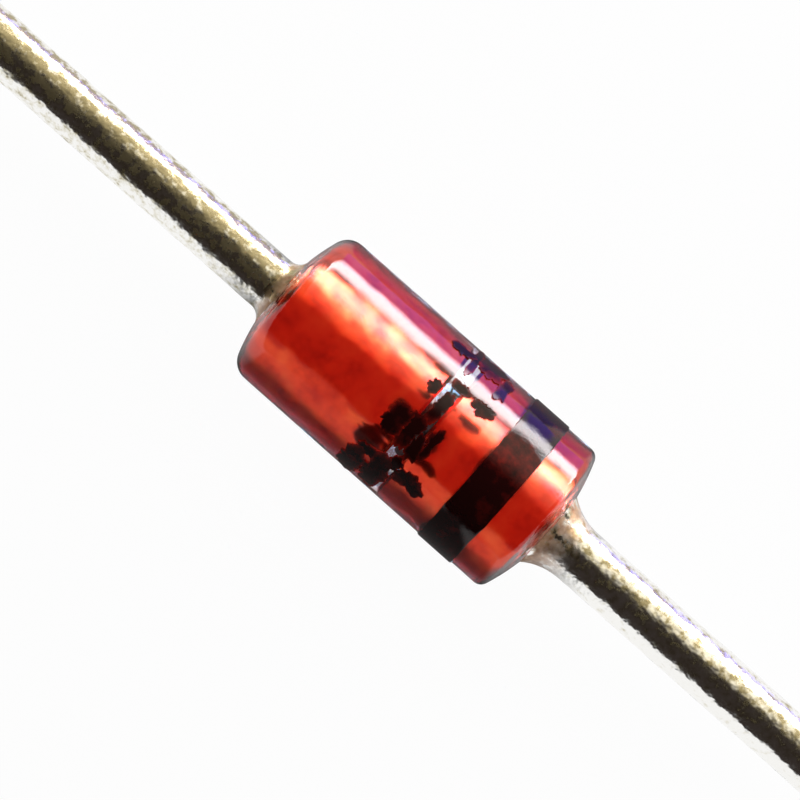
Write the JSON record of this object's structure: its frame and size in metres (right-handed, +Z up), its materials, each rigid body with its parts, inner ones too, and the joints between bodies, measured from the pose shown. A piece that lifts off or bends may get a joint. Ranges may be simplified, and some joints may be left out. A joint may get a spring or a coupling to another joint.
{
  "type": "axial glass zener diode",
  "caption": "Axial zener diode: a chip between two red oxide slugs in a fused glass envelope with a black cathode band, on straight tinned leads.",
  "frame": {"origin": "on the lead axis, at the middle of the glass envelope and of the overall length", "axes": "+X along the lead axis towards the banded cathode end; +Z up, with the printed side facing the front (-Y) and upwards"},
  "size_m": [0.0568, 0.0024, 0.0024],
  "materials": {
    "envelope_glass": "clear, fire-polished, glossy",
    "slug_oxide": "red copper oxide under the glass, satin",
    "chip_silicon": "dark grey, sawn edges",
    "bump_silver": "plated silver, satin",
    "tinned_wire": "tin-dipped wire, glossy and slightly lumpy",
    "weld_metal": "tinned weld with copper showing through",
    "print_ink": "black printed ink, slightly worn"
  },
  "bodies": {
    "root": {"glass_sleeve": "envelope_glass", "anode_slug": "slug_oxide", "cathode_slug": "slug_oxide", "silicon_chip": "chip_silicon", "silver_bump": "bump_silver", "anode_lead": "tinned_wire", "cathode_lead": "tinned_wire", "anode_weld": "weld_metal", "cathode_weld": "weld_metal", "cathode_band": "print_ink", "ink_marks": "print_ink"}
  },
  "joints": []
}
